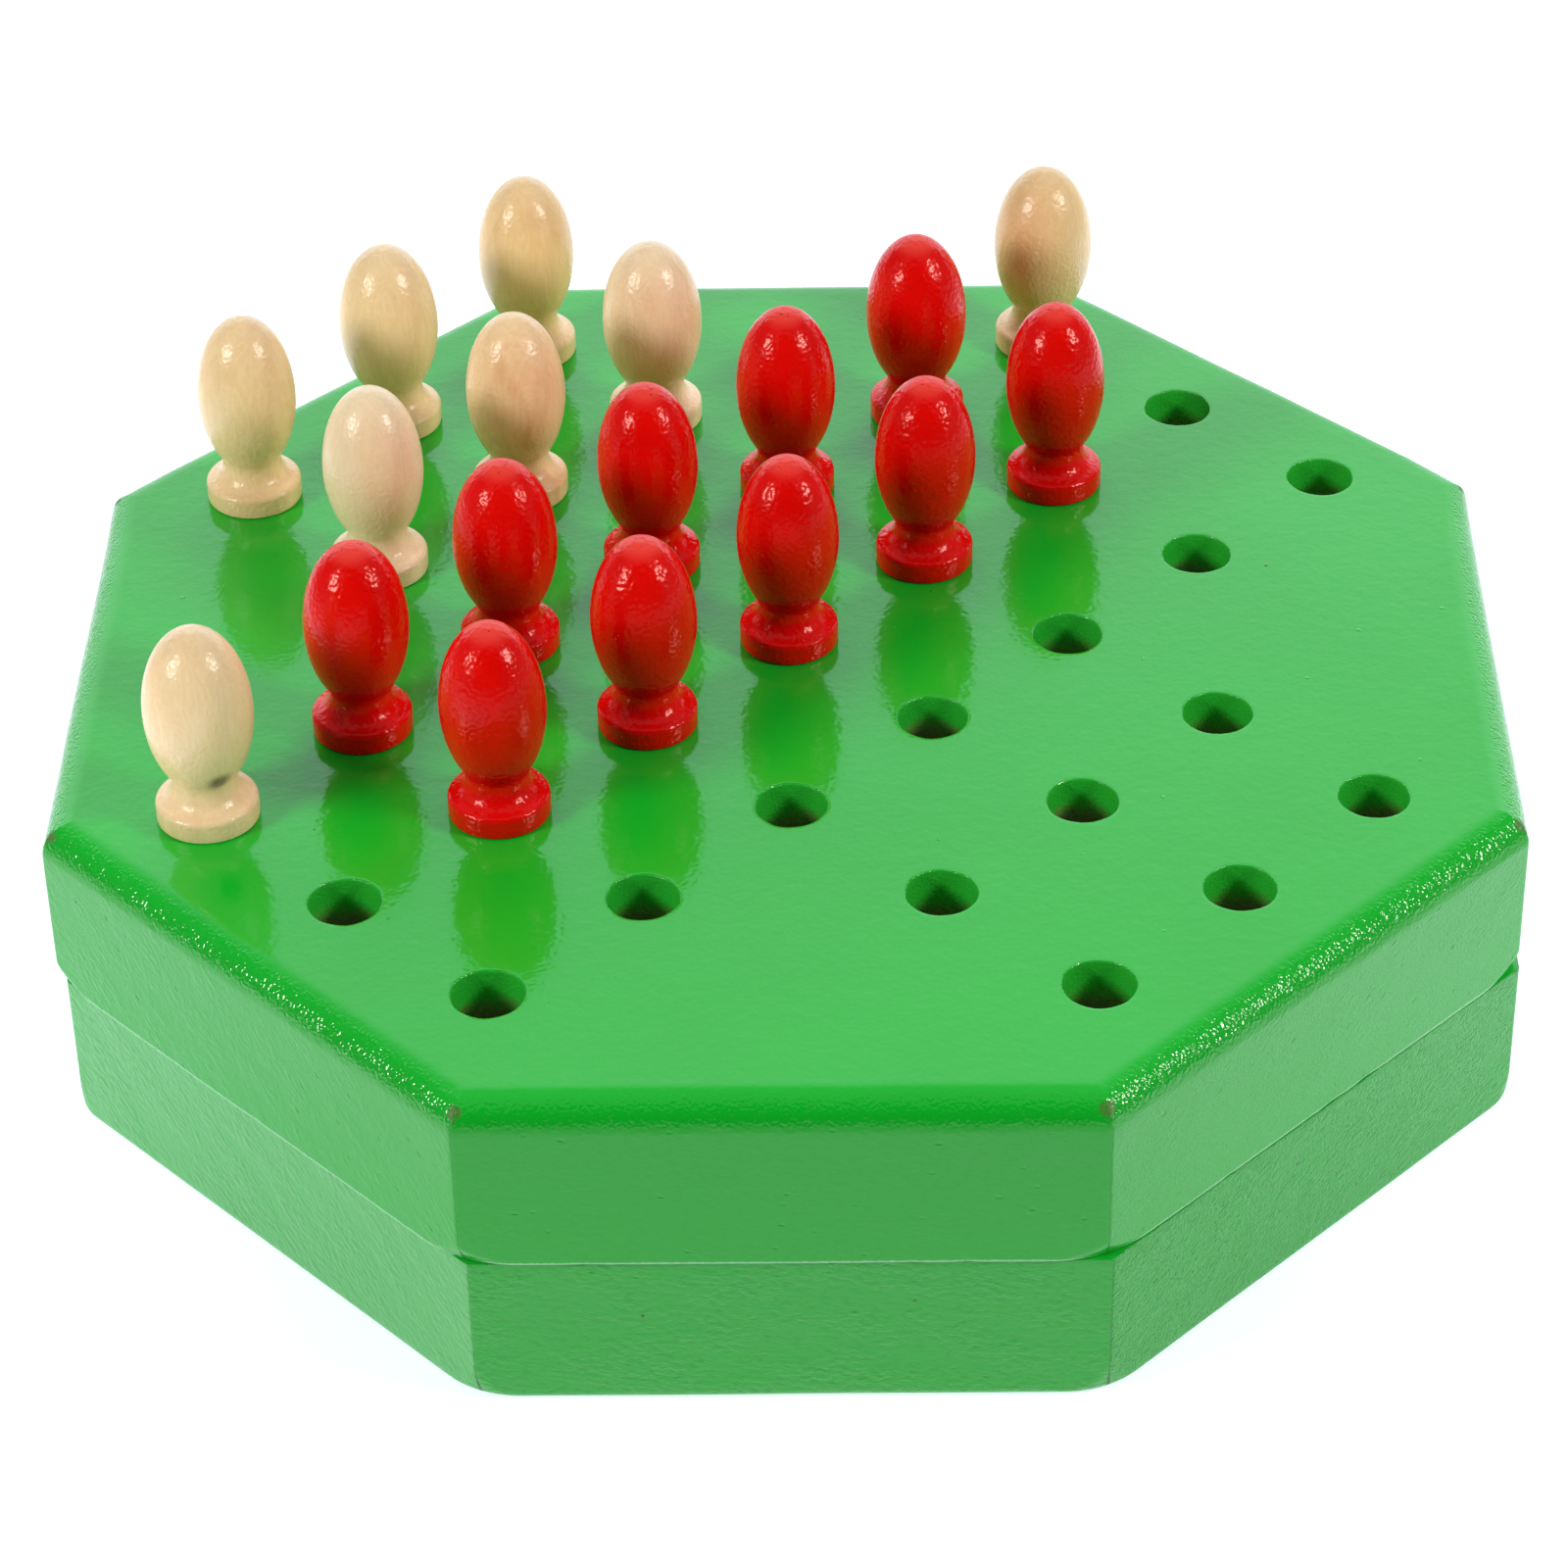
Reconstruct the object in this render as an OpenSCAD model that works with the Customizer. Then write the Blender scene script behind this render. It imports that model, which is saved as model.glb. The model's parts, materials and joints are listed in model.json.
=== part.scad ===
// Octagonal peg solitaire: a board of 33 peg holes that is also the lid of a storage tray,
// with egg-headed wooden pegs standing in 18 of the holes.
// Origin: centre of the tray's underside. +Z is up, and the front side of the octagon faces -Y.

/* [Lid board] */
// Width of the lid board across its flats
lid_across = 144.4; // [138:0.1:156]
// Thickness of the lid board
lid_t = 18.8; // [16:0.1:24]
// Radius of the rounding around the lid's top edge
lid_round = 3.4; // [1:0.1:5]
// How far the lid sits to one side on the tray, within the play of the lip
lid_shift_x = -0.45; // [-0.5:0.05:0.5]
// How far the lid is turned on the tray, in degrees
lid_turn = -0.1; // [-0.2:0.05:0.2]
// Gap that the paint leaves open at the seam
seam_gap = 0.1; // [0.05:0.05:0.3]

/* [Peg holes] */
// Distance between neighbouring holes of a row
pitch = 20; // [18:0.1:20.5]
// Diameter of a peg hole
hole_d = 7.1; // [7:0.05:8]
// Depth of a peg hole
hole_depth = 11; // [9:0.5:12]
// How far the drilled grid lies to the right of the lid's centre
grid_x = 0.35; // [-1:0.05:1]
// How far the drilled grid lies behind the lid's centre
grid_y = 1.35; // [-1.5:0.05:1.5]
// How far the drilled grid is turned against the octagon, in degrees
grid_turn = 0.75; // [-1:0.05:1]

/* [Tray] */
// Width of the tray across its flats
tray_across = 143.8; // [138:0.1:150]
// Height of the tray up to the seam with the lid
tray_t = 17.3; // [15:0.1:24]
// Radius of the rounding around the tray's bottom edge
tray_round = 1.2; // [0.5:0.1:3]
// Thickness of the tray's floor
floor_t = 5; // [3:0.5:7]
// Width of the storage well across its flats
well_across = 122; // [110:0.5:124]
// Width of the raised lip around the well
lip_w = 4; // [2:0.5:4]
// Height of the lip above the seam
lip_h = 3; // [2:0.25:4]
// Play between the lip and the recess under the lid
lip_play = 0.8; // [0.8:0.05:1.2]

/* [Pegs] */
// Height of a peg above the board
peg_h = 21.9; // [19:0.1:23]
// Largest diameter of the egg-shaped head
head_d = 10.3; // [9:0.1:11]
// Radius of the small arc at each end of the egg
head_tip_r = 3.3; // [3:0.05:3.6]
// Width of the small flat that the lathe leaves on top
top_flat_d = 2; // [1:0.1:3]
// Diameter of the neck under the head
neck_d = 6.4; // [6:0.1:6.8]
// Diameter of the flange that rests on the board
flange_d = 10; // [9:0.1:11]
// Thickness of the flange at its rim, with the rounded shoulder
flange_t = 2.5; // [2:0.1:3]
// Radius of the flange's shoulder
shoulder_r = 0.5; // [0.3:0.1:1]
// Diameter of the shank that stands in the hole
shank_d = 6.4; // [6:0.05:6.45]
// Length of the shank
shank_l = 9.5; // [7:0.5:10]
// Bevel around the end of the shank
shank_bevel = 0.8; // [0.3:0.1:1.5]

/* [Hidden] */
$fn = 96;
// Overlap of a cut past the face that it opens
past = 1;
half_side = 22.5;
under_lid_z = tray_t + seam_gap;
top_z = under_lid_z + lid_t;
recess_across = well_across + 2 * lip_w + 2 * lip_play;
// Clear height left above the lip under the lid
recess_spare = 0.5;
recess_depth = lip_h + recess_spare;
step_xy = pitch / sqrt(2);
// The hollow that runs from the shoulder into the neck
cove_r = (flange_d - neck_d) / 2 - shoulder_r;
// The egg: two wide arcs meet two small end arcs
head_r = head_d / 2;
head_half_h = (peg_h - flange_t - 0.9) / 2;
head_z = peg_h - head_half_h;
tip_z = head_half_h - head_tip_r;
side_r = (head_r * head_r + tip_z * tip_z - head_tip_r * head_tip_r) / (2 * (head_r - head_tip_r));
side_join_z = tip_z * side_r / (side_r - head_tip_r);
// Height of the flat on top, measured down from the tip of the egg
flat_drop = head_tip_r - sqrt(head_tip_r * head_tip_r - top_flat_d * top_flat_d / 4);

// Holes are named by row and place, both from -3 to 3: [place, row]
natural_seats = [[-1, -3], [0, -3], [1, -3], [-1, -2], [0, -2], [1, -2], [-3, -1], [3, -1]];
red_seats = [for (row = [-1:0], place = [-2:2]) [place, row]];

// A straight-sided octagon with flats towards X and Y
module octagon(across, height) {
    rotate(half_side)
        cylinder(r = across / 2 / cos(half_side), h = height, $fn = 8);
}

// What a rounding takes off a corner whose point is at the origin, with the block towards +X +Y
module corner_waste(radius) {
    difference() {
        translate([-past, -past])
            square(radius + past);
        translate([radius, radius])
            circle(radius);
    }
}

// Cross-section of a board across its flats, with rounded top or bottom edges
module board_section(across, height, top_r, bottom_r) {
    difference() {
        translate([-across / 2, 0])
            square([across, height]);
        for (side = [0, 1]) mirror([side, 0]) {
            if (bottom_r > 0)
                translate([-across / 2, 0])
                    corner_waste(bottom_r);
            if (top_r > 0)
                translate([-across / 2, height])
                    mirror([0, 1])
                        corner_waste(top_r);
        }
    }
}

// A board section drawn out along one pair of the octagon's sides
module board_bar(angle, across, height, top_r, bottom_r) {
    rotate(angle)
        rotate([90, 0, 0])
            linear_extrude(across * 1.2, center = true)
                board_section(across, height, top_r, bottom_r);
}

// An octagonal board whose edges are rounded all round and meet in mitres
module octagon_board(across, height, top_r, bottom_r) {
    intersection() {
        board_bar(0, across, height, top_r, bottom_r);
        board_bar(45, across, height, top_r, bottom_r);
        board_bar(90, across, height, top_r, bottom_r);
        board_bar(135, across, height, top_r, bottom_r);
    }
}

// Places its children as the lid lies on the tray
module on_lid() {
    translate([lid_shift_x, 0, 0])
        rotate(lid_turn)
            children();
}

// Places its children at a hole, on the board's top face
module at_seat(seat) {
    on_lid()
        translate([grid_x, grid_y, top_z])
            rotate(grid_turn)
                translate([(seat[0] + seat[1]) * step_xy, (seat[0] - seat[1]) * step_xy, 0])
                    children();
}

// Storage tray: a board with a well cut in it and a lip that keeps the lid in place
module tray() {
    color("forestgreen")
        difference() {
            union() {
                octagon_board(tray_across, tray_t, 0, tray_round);
                translate([0, 0, floor_t])
                    octagon(well_across + 2 * lip_w, tray_t + lip_h - floor_t);
            }
            translate([0, 0, floor_t])
                octagon(well_across, tray_t + lip_h);
        }
}

// Lid board: 33 blind holes in the top, and a recess underneath that drops over the lip
module peg_board() {
    color("limegreen")
        difference() {
            on_lid()
                translate([0, 0, under_lid_z])
                    octagon_board(lid_across, lid_t, lid_round, 0);
            on_lid()
                translate([0, 0, under_lid_z - past])
                    octagon(recess_across, recess_depth + past);
            for (place = [-3:3], row = [-3:3])
                if (abs(place) <= 1 || abs(row) <= 1)
                    at_seat([place, row])
                        translate([0, 0, -hole_depth])
                            cylinder(d = hole_d, h = hole_depth + past);
        }
}

// Half of the egg's outline, with its centre at the origin
module egg_section() {
    intersection() {
        translate([head_r - side_r, 0])
            circle(side_r, $fn = 360);
        translate([0, -side_join_z])
            square([head_r + past, 2 * side_join_z]);
    }
    for (end = [-1, 1])
        intersection() {
            translate([0, end * tip_z])
                circle(head_tip_r);
            translate([0, -head_half_h])
                square([head_r, 2 * head_half_h]);
        }
}

// Half of the flange's outline, from the board up to its rounded shoulder
module flange_section() {
    square([flange_d / 2 - shoulder_r, flange_t]);
    square([flange_d / 2, flange_t - shoulder_r]);
    translate([flange_d / 2 - shoulder_r, flange_t - shoulder_r])
        circle(shoulder_r);
}

// Half of the hollow curve that leads from the flange into the neck
module cove_section() {
    difference() {
        translate([0, flange_t - shoulder_r])
            square([neck_d / 2 + cove_r, cove_r + shoulder_r]);
        translate([neck_d / 2 + cove_r, flange_t + cove_r])
            circle(cove_r);
    }
}

// Half of the shank's outline, with a bevelled end
module shank_section() {
    polygon([
        [0, -shank_l],
        [shank_d / 2 - shank_bevel, -shank_l],
        [shank_d / 2, shank_bevel - shank_l],
        [shank_d / 2, 0],
        [0, 0]
    ]);
}

// A turned peg with its flange resting at Z = 0
module peg() {
    rotate_extrude()
        difference() {
            union() {
                shank_section();
                flange_section();
                cove_section();
                square([neck_d / 2, head_z - tip_z]);
                translate([0, head_z])
                    egg_section();
            }
            translate([-past, peg_h - flat_drop])
                square([head_d, flat_drop + past]);
        }
}

module natural_peg(number) {
    color("burlywood")
        at_seat(natural_seats[number - 1])
            peg();
}

module red_peg(number) {
    color("red")
        at_seat(red_seats[number - 1])
            peg();
}

tray();
peg_board();
for (i = [1:len(natural_seats)])
    natural_peg(i);
for (i = [1:len(red_seats)])
    red_peg(i);
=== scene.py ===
import json
import math

import bpy
import numpy as np
from mathutils import Matrix, Vector, geometry


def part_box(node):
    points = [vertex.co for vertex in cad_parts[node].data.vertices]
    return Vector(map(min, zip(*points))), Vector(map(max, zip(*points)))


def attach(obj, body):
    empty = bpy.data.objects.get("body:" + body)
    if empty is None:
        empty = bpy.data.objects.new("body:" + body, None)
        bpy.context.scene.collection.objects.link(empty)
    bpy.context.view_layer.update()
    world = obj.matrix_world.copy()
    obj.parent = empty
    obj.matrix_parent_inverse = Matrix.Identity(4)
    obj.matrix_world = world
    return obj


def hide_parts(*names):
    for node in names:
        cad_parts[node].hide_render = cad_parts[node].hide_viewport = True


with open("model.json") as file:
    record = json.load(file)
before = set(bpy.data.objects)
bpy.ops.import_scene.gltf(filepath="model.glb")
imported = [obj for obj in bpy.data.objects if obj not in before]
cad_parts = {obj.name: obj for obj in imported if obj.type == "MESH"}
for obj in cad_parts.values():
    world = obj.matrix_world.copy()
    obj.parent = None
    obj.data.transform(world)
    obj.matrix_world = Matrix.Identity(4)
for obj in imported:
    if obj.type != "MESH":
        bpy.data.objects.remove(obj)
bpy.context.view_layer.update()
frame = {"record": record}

# Octagonal peg solitaire box: a green lacquered peg board that is the lid of a storage tray, with
# eight varnished and ten red lacquered pegs. Sizes are in millimetres, and MM turns them to metres.

MM = 0.001

# ---------------------------------------------------------------- sizes of the boards
LID_TURN = math.radians(-0.1)      # how the lid sits turned on the tray
HALF_SIDE = math.radians(22.5)     # half the angle that one side of the octagon takes up
LID_ROUND = 3.4                    # rounding of the lid's top edge
TRAY_ROUND = 1.2                   # rounding of the tray's foot edge
CORNER_ROUND = 0.9                 # rounding in plan of the upright corners
SEAM_CORNER = 14.0                 # the same at the lid's lower edge, where the corners were sanded
SEAM_SANDED = 2.4                  # how high up the lid the sanding reaches
FOOT_CORNER = 12.0                 # the same at the tray's foot, on the corners that were sanded most
FOOT_SANDED = 4.0                  # how high up the tray the sanding reaches
# Share of FOOT_CORNER at each corner, and of LID_ROUND on each side, anticlockwise from +X
FOOT_SHARES = np.array([0.6, 0.8, 0.8, 0.6, 0.45, 1, 1, 0.6])
EDGE_SHARES = np.array([1, 0.62, 0.74, 0.8, 1, 1, 1, 1])
WELL_CORNER = 4.0                  # corners of the well, the lip and the recess
LEAST_CORNER = 0.12                # the crispest corner of a loop that is set in from the side
LID_ARRIS = 0.14                   # softened lower edge of the lid
TRAY_ARRIS = 0.1                   # softened upper edge of the tray
HOLE_R = 3.45
HOLE_DEPTH = 11.0
HOLE_RIM = 0.2                     # rounding where the lacquer rolls into a hole
FLOOR_T = 5.0
WELL_HALF = 61.0
LIP_W = 4.0
LIP_PLAY = 0.8
LIP_H = 3.0
RECESS_DEPTH = 3.5
WAVINESS = 0.03                    # how far a sawn side wanders from straight
EASED = 0.5                        # softened edges of the lip, and the land beside the top cap
SEAM_LACQUER = 0.06                # the lacquer on the seam faces almost closes the gap

# ---------------------------------------------------------------- sizes of the pegs
PEG_H = 21.66
HEAD_W = 10.45
FLANGE_W = 10.0
FLANGE_T = 2.5
SHOULDER = 0.6                      # rounding of the flange's upper edge
SHOULDER_TURN = math.radians(76)
FOOT_R = 0.3
EGG_JOIN = math.radians(-50)       # where the flare leaves the underside of the egg
CROWN_TURN = math.radians(81)
SHANK_W = 6.4
SHANK_L = 9.5


def box_mm(node):
    """Lowest and highest corner of a CAD node, in millimetres."""
    low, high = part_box(node)
    return np.array(low) / MM, np.array(high) / MM


TRAY_LOW, TRAY_HIGH = box_mm("tray")
LID_LOW, LID_HIGH = box_mm("peg_board")
LID_CENTRE = (LID_LOW + LID_HIGH)[:2] / 2
TURNED_SPREAD = math.cos(LID_TURN) + math.tan(HALF_SIDE) * abs(math.sin(LID_TURN))
LID_HALF = (LID_HIGH - LID_LOW)[0] / 2 / TURNED_SPREAD
TRAY_CENTRE = (TRAY_LOW + TRAY_HIGH)[:2] / 2
TRAY_HALF = (TRAY_HIGH - TRAY_LOW)[0] / 2
TOP_Z = LID_HIGH[2]
LID_FOOT_Z = LID_LOW[2]
TRAY_TOP_Z = TRAY_HIGH[2] - LIP_H + SEAM_LACQUER
NATURAL = ["natural_peg_%d" % n for n in range(1, 9)]
RED = ["red_peg_%d" % n for n in range(1, 11)]


def seat_of(peg):
    """Centre of the hole that a peg stands in."""
    low, high = box_mm(peg)
    return (low + high)[:2] / 2


def empty_seats():
    """Centres of the holes that stand empty, from the openings in the record."""
    seats = []
    for opening in frame["record"]["physics"]["openings"]:
        if opening["name"].startswith("peg_hole"):
            seats.append(np.mean(opening["box_m"], axis=0)[:2] / MM)
    return seats


HOLES = [seat_of(peg) for peg in NATURAL + RED] + empty_seats()
HALF_LENGTH = LID_HALF * math.tan(HALF_SIDE)


# ---------------------------------------------------------------- colour and node helpers
def paint(code):
    """A linear colour from an sRGB hex code."""
    parts = [int(code[i:i + 2], 16) / 255 for i in (1, 3, 5)]
    return tuple(c / 12.92 if c <= 0.04045 else ((c + 0.055) / 1.055) ** 2.4 for c in parts) + (1.0,)


def add(tree, kind, values=None, **settings):
    """A node with its settings, and each named input given a number, a colour or a socket to link."""
    made = tree.nodes.new("ShaderNode" + kind)
    for name, value in settings.items():
        setattr(made, name, value)
    for name, value in (values or {}).items():
        if isinstance(value, bpy.types.NodeSocket):
            tree.links.new(value, made.inputs[name])
        else:
            made.inputs[name].default_value = value
    return made


def mixed(tree, share, first, second):
    """Two colours mixed by a share."""
    return add(tree, "Mix", {0: share, 6: first, 7: second}, data_type="RGBA").outputs[2]


def stretched(tree, place, scale):
    """A place with each axis scaled, for grain and fibres."""
    return add(tree, "VectorMath", {0: place, 1: scale}, operation="MULTIPLY").outputs["Vector"]


def ranged(tree, value, low, high, to_low=0.0, to_high=1.0):
    """A value between low and high taken smoothly to another range."""
    made = add(tree, "MapRange", {"Value": value, "From Min": low, "From Max": high, "To Min": to_low,
                                  "To Max": to_high}, interpolation_type="SMOOTHSTEP")
    return made.outputs["Result"]


def sums(tree, first, second, operation="ADD"):
    """One number from two."""
    return add(tree, "Math", {0: first, 1: second}, operation=operation).outputs["Value"]


def times(tree, first, second):
    """The product of two numbers."""
    return sums(tree, first, second, "MULTIPLY")


def moved(tree, place, seed, step):
    """A place moved by a seed, so that no two pieces show the same pattern."""
    away = tuple(seed * reach for reach in step)
    return add(tree, "VectorMath", {0: place, 1: away}, operation="ADD").outputs["Vector"]


def new_finish(name):
    """An empty node material, with its shader and the place on the piece in millimetres."""
    material = bpy.data.materials.new(name)
    material.use_nodes = True
    tree = material.node_tree
    tree.nodes.clear()
    place = add(tree, "TexCoord")
    mm = add(tree, "VectorMath", {0: place.outputs["Object"], 1: (1 / MM,) * 3}, operation="MULTIPLY")
    shader = add(tree, "BsdfPrincipled")
    add(tree, "OutputMaterial", {"Surface": shader.outputs["BSDF"]})
    return material, tree, mm.outputs["Vector"], place.outputs["Normal"], shader


# ---------------------------------------------------------------- noise on meshes
def ripple(points, wave_mm, seed):
    """Smooth noise between -1 and 1 at each point: sums of sine waves in seeded directions."""
    waves = np.random.default_rng(seed)
    total = np.zeros(len(points))
    count = 9
    for _ in range(count):
        direction = waves.normal(size=3)
        direction /= np.linalg.norm(direction)
        length = wave_mm * waves.uniform(0.7, 1.6)
        total += np.sin(points @ direction * 2 * math.pi / length + waves.uniform(0, 2 * math.pi))
    return np.clip(total / math.sqrt(count / 2) / 1.8, -1, 1)


# ---------------------------------------------------------------- boards as stacks of octagon loops
SANDER_SLANTS = [12, -25, 18, 30, -15, -42, -8, 22]    # degrees, side by side from +X anticlockwise
SIDE_STEP = 37.0         # keeps the pattern of one side apart from the next
PER_SIDE = 120
PER_CORNER = 16
PER_HOLE = 56
PER_PEG = 80


def octagon_loop(half, corner):
    """Points anticlockwise round an octagon whose corners have one radius, or a radius each."""
    points = []
    radii = np.broadcast_to(corner, 8)
    for k in range(8):
        turn = math.radians(45 * k)
        facing = np.array([math.cos(turn), math.sin(turn)])
        along = np.array([-facing[1], facing[0]])
        start = (radii[k - 1] - half) * math.tan(HALF_SIDE)
        end = (half - radii[k]) * math.tan(HALF_SIDE)
        for t in np.linspace(start, end, PER_SIDE, endpoint=False):
            points.append(facing * half + along * t)
        hub = facing * (half - radii[k]) + along * end
        for t in np.linspace(0, math.radians(45), PER_CORNER, endpoint=False):
            points.append(hub + radii[k] * np.array([math.cos(turn + t), math.sin(turn + t)]))
    return np.array(points)


def corner_gap(points):
    """Distance along the side from the nearest corner of the octagon."""
    angle = np.degrees(np.arctan2(points[:, 1], points[:, 0]))
    off = np.abs((angle - 22.5 + 22.5) % 45 - 22.5)
    return np.linalg.norm(points, axis=1) * np.sin(np.radians(off))


def edge_share(points):
    """How much of the full edge rounding each point has: the router left the back sides crisper."""
    angle = np.degrees(np.arctan2(points[:, 1], points[:, 0]))
    side = np.round(angle / 45).astype(int)
    off = angle - side * 45
    own = EDGE_SHARES[side % 8]
    beside = EDGE_SHARES[(side + np.sign(off).astype(int)) % 8]
    blend = np.clip((np.abs(off) - 17.5) / 5, 0, 1) / 2
    return own * (1 - blend) + beside * blend


def loop_normals(points):
    """Outward directions in plan at each point of a loop."""
    step = np.roll(points, -1, axis=0) - np.roll(points, 1, axis=0)
    out = np.stack([step[:, 1], -step[:, 0]], axis=1)
    return out / np.linalg.norm(out, axis=1)[:, None]


class Blank:
    """Collects the loops, patches and finishes of a piece, then makes one mesh."""

    def __init__(self):
        self.points = []
        self.faces = []
        self.finish = []

    def add_points(self, points):
        start = len(self.points)
        self.points.extend(points)
        return list(range(start, start + len(points)))

    def bridge(self, lower, upper, finish=0):
        count = len(lower)
        for i in range(count):
            j = (i + 1) % count
            self.faces.append((lower[i], lower[j], upper[j], upper[i]))
            self.finish.append(finish)

    def patch(self, faces, finish=0):
        self.faces.extend(faces)
        self.finish.extend([finish] * len(faces))

    def build(self, name, finishes):
        mesh = bpy.data.meshes.new(name)
        mesh.from_pydata([tuple(p * MM for p in point) for point in self.points], [], self.faces)
        mesh.polygons.foreach_set("material_index", self.finish)
        mesh.polygons.foreach_set("use_smooth", [len(face) == 4 for face in self.faces])
        for finish in finishes:
            mesh.materials.append(finish)
        mesh.validate()
        mesh.update()
        made = bpy.data.objects.new(name, mesh)
        bpy.context.scene.collection.objects.link(made)
        return made


def stroke_place(loop, z):
    """(along, across, side) in millimetres, for a sander that slants by its own angle on each side."""
    angle = np.degrees(np.arctan2(loop[:, 1], loop[:, 0]))
    side = np.round(angle / 45).astype(int) % 8
    facing = np.radians(side * 45.0)
    along = -loop[:, 0] * np.sin(facing) + loop[:, 1] * np.cos(facing)
    slant = np.radians(np.array(SANDER_SLANTS)[side])
    up = np.full(len(loop), float(z))
    with_stroke = along * np.cos(slant) + up * np.sin(slant)
    over_stroke = up * np.cos(slant) - along * np.sin(slant)
    return np.stack([with_stroke, over_stroke, side * SIDE_STEP], axis=1)


def finished_board(board, name, finishes, rings, worn, strokes):
    """Makes a board's mesh, and stores how worn each point is and where it lies in the sander's strokes."""
    piece = board.build(name, finishes)
    values = np.zeros(len(board.points))
    places = np.array(board.points)
    for ring, amount, stroke in zip(rings, worn, strokes):
        values[ring] = amount
        places[ring] = stroke
    wear = piece.data.attributes.new("wear", "FLOAT", "POINT")
    wear.data.foreach_set("value", np.clip(values, 0, 1).astype(np.float32))
    grain = piece.data.attributes.new("grain_place", "FLOAT_VECTOR", "POINT")
    grain.data.foreach_set("vector", np.asarray(places, dtype=np.float32).ravel())
    return piece


def place_loop(loop, centre, turn, z):
    """A loop in plan, turned and moved to its board, at one height or a height for each point."""
    c, s = math.cos(turn), math.sin(turn)
    x = loop[:, 0] * c - loop[:, 1] * s + centre[0]
    y = loop[:, 0] * s + loop[:, 1] * c + centre[1]
    return np.stack([x, y, np.broadcast_to(z, x.shape)], axis=1)


# ---------------------------------------------------------------- camera, floor and light
def look(distance, height_angle, heading, roll, aim, lens):
    """The camera, placed round a point of the box. Angles in degrees, places in millimetres."""
    h, e = math.radians(heading), math.radians(height_angle)
    ahead = Vector((math.sin(h) * math.cos(e), math.cos(h) * math.cos(e), -math.sin(e)))
    data = bpy.data.cameras.new("camera")
    data.lens = lens
    data.sensor_width = 36
    data.clip_start = 0.01
    data.clip_end = 20
    camera = bpy.data.objects.new("camera", data)
    bpy.context.scene.collection.objects.link(camera)
    side = ahead.cross(Vector((0, 0, 1))).normalized()
    over = side.cross(ahead)
    r = math.radians(roll)
    right = side * math.cos(r) + over * math.sin(r)
    up = over * math.cos(r) - side * math.sin(r)
    where = Vector(aim) * MM - ahead * distance * MM
    turned = Matrix((right, up, -ahead)).transposed().to_4x4()
    camera.matrix_world = Matrix.Translation(where) @ turned
    bpy.context.scene.camera = camera


look(distance=510.5, height_angle=36.67, heading=-0.957, roll=-1.097, aim=(-0.89, 0.0, 18.69),
     lens=113.16)
bpy.context.scene.view_settings.view_transform = "Standard"


def studio_floor(front, sides):
    """A plain pale floor that glows like a white table lit from below: painted light, a pool of light round
    the box, brighter out to the two sides.
    """
    material, tree, mm, normal, shader = new_finish("white_table")
    soft = add(tree, "TexNoise", {"Vector": mm, "Scale": 0.004, "Detail": 2.0})
    base = mixed(tree, soft.outputs["Fac"], paint("#D2D2D2"), paint("#DADADA"))
    parts = add(tree, "SeparateXYZ", {0: mm})
    across = sums(tree, parts.outputs["X"], 0.0, "ABSOLUTE")
    nearer = sums(tree, parts.outputs["Y"], 0.0, "MINIMUM")
    nearer = add(tree, "CombineXYZ", {0: across, 1: nearer}).outputs["Vector"]
    away = add(tree, "VectorMath", {0: nearer}, operation="LENGTH").outputs["Value"]
    # Painted light: the floor glows brightest round the box and out to the sides, which hides the box's
    # shadow
    painted_floor_glow = ranged(tree, across, 40.0, 110.0, front, sides)
    painted_floor_glow = times(tree, painted_floor_glow, ranged(tree, away, 230.0, 118.0))
    tree.links.new(base, shader.inputs["Base Color"])
    tree.links.new(painted_floor_glow, shader.inputs["Emission Strength"])
    shader.inputs["Emission Color"].default_value = paint("#E8F3FF")
    shader.inputs["Roughness"].default_value = 0.6
    mesh = bpy.data.meshes.new("studio_floor")
    reach = 4.0
    corners = [(-reach, -reach, 0), (reach, -reach, 0), (reach, reach, 0), (-reach, reach, 0)]
    mesh.from_pydata(corners, [], [(0, 1, 2, 3)])
    mesh.materials.append(material)
    floor = bpy.data.objects.new("studio_floor", mesh)
    bpy.context.scene.collection.objects.link(floor)


def soft_box(name, heading, height_angle, distance, width, power, tint):
    """A square soft light that faces the box. Distance and width in metres."""
    data = bpy.data.lights.new(name, "AREA")
    data.shape = "SQUARE"
    data.size = width
    data.energy = power
    data.color = paint(tint)[:3]
    h, e = math.radians(heading), math.radians(height_angle)
    toward = Vector((math.sin(h) * math.cos(e), math.cos(h) * math.cos(e), math.sin(e)))
    light = bpy.data.objects.new(name, data)
    light.location = toward * distance + Vector((0, 0, TOP_Z * MM))
    light.rotation_euler = toward.to_track_quat("Z", "Y").to_euler()
    bpy.context.scene.collection.objects.link(light)


def studio_air(horizon, behind, overhead, sides, front):
    """Light from all round: a bright paper sweep behind, a softer ceiling, and a dark room in front."""
    world = bpy.data.worlds.new("studio_air")
    bpy.context.scene.world = world
    world.use_nodes = True
    tree = world.node_tree
    tree.nodes.clear()
    way = add(tree, "TexCoord")
    parts = add(tree, "SeparateXYZ", {0: way.outputs["Generated"]})
    across = sums(tree, parts.outputs["X"], 0.0, "ABSOLUTE")
    sweep = ranged(tree, parts.outputs["Z"], 0.5, 0.66, horizon, behind)
    ceiling = ranged(tree, across, 0.4, 0.7, overhead, sides)
    ceiling = times(tree, ceiling, ranged(tree, parts.outputs["Y"], -0.62, -0.42))
    ceiling = sums(tree, ceiling, front, "MAXIMUM")
    level = add(tree, "Mix", {0: ranged(tree, parts.outputs["Y"], 0.46, 0.76), 2: ceiling, 3: sweep})
    shade = add(tree, "Background", {"Color": paint("#EDF5FF"), "Strength": level.outputs[0]})
    add(tree, "OutputWorld", {"Surface": shade.outputs["Background"]})


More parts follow.
